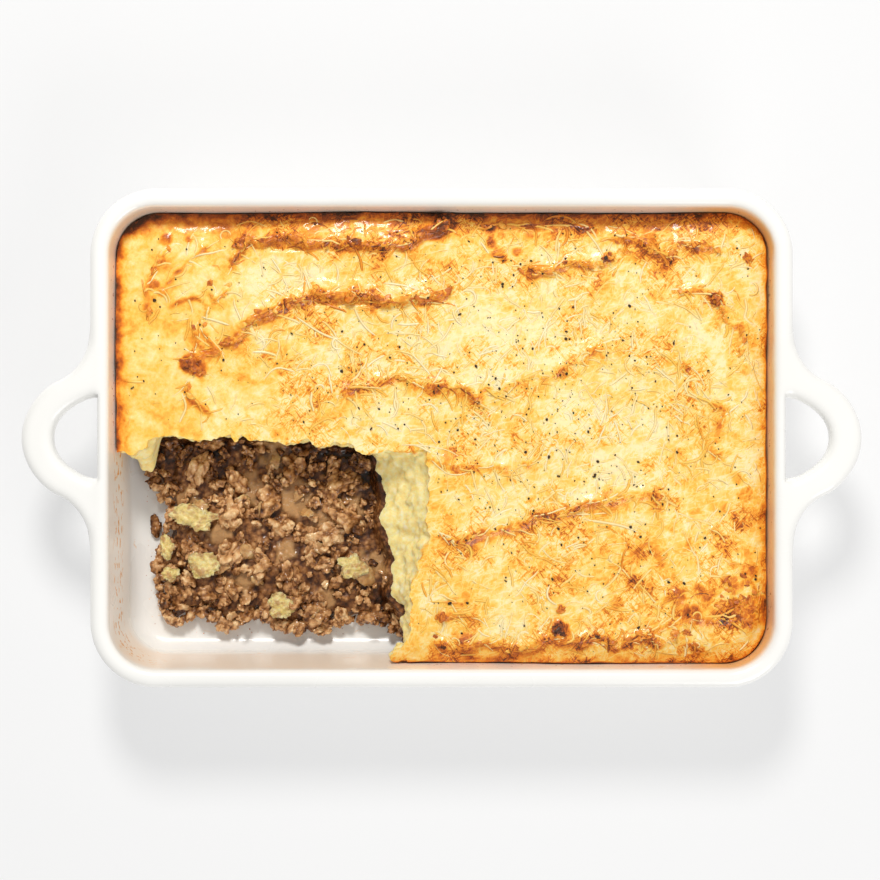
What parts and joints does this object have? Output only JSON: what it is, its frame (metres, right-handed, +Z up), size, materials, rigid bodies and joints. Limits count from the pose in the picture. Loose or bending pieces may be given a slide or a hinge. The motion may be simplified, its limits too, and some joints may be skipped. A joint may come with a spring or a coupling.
{
  "type": "shepherds pie",
  "caption": "Shepherd's pie with browned mashed potato over cooked mince, one corner served, in a white ceramic baking dish with two loop handles.",
  "frame": {"origin": "centre of the dish's underside, on the surface it stands on", "axes": "+X along the dish, from one handle to the other; +Y across it, away from the long side next to the served corner; +Z up"},
  "size_m": [0.4092, 0.243, 0.062],
  "materials": {
    "ceramic": "white glazed stoneware, baked-on stains inside",
    "mash": "mashed potato with melted cheese, browned on its ridges, pale where it is cut",
    "mince": "cooked minced meat and onion, glossy with gravy",
    "crust": "dark browned crust"
  },
  "bodies": {
    "root": {"baking_dish": "ceramic", "mash_topping": "mash", "mince_filling": "mince", "mash_scrap_1": "mash", "mash_scrap_2": "mash", "mash_scrap_3": "mash", "mash_scrap_4": "mash", "mash_scrap_5": "mash", "mash_scrap_6": "mash", "crust_crumb": "crust"}
  },
  "joints": []
}
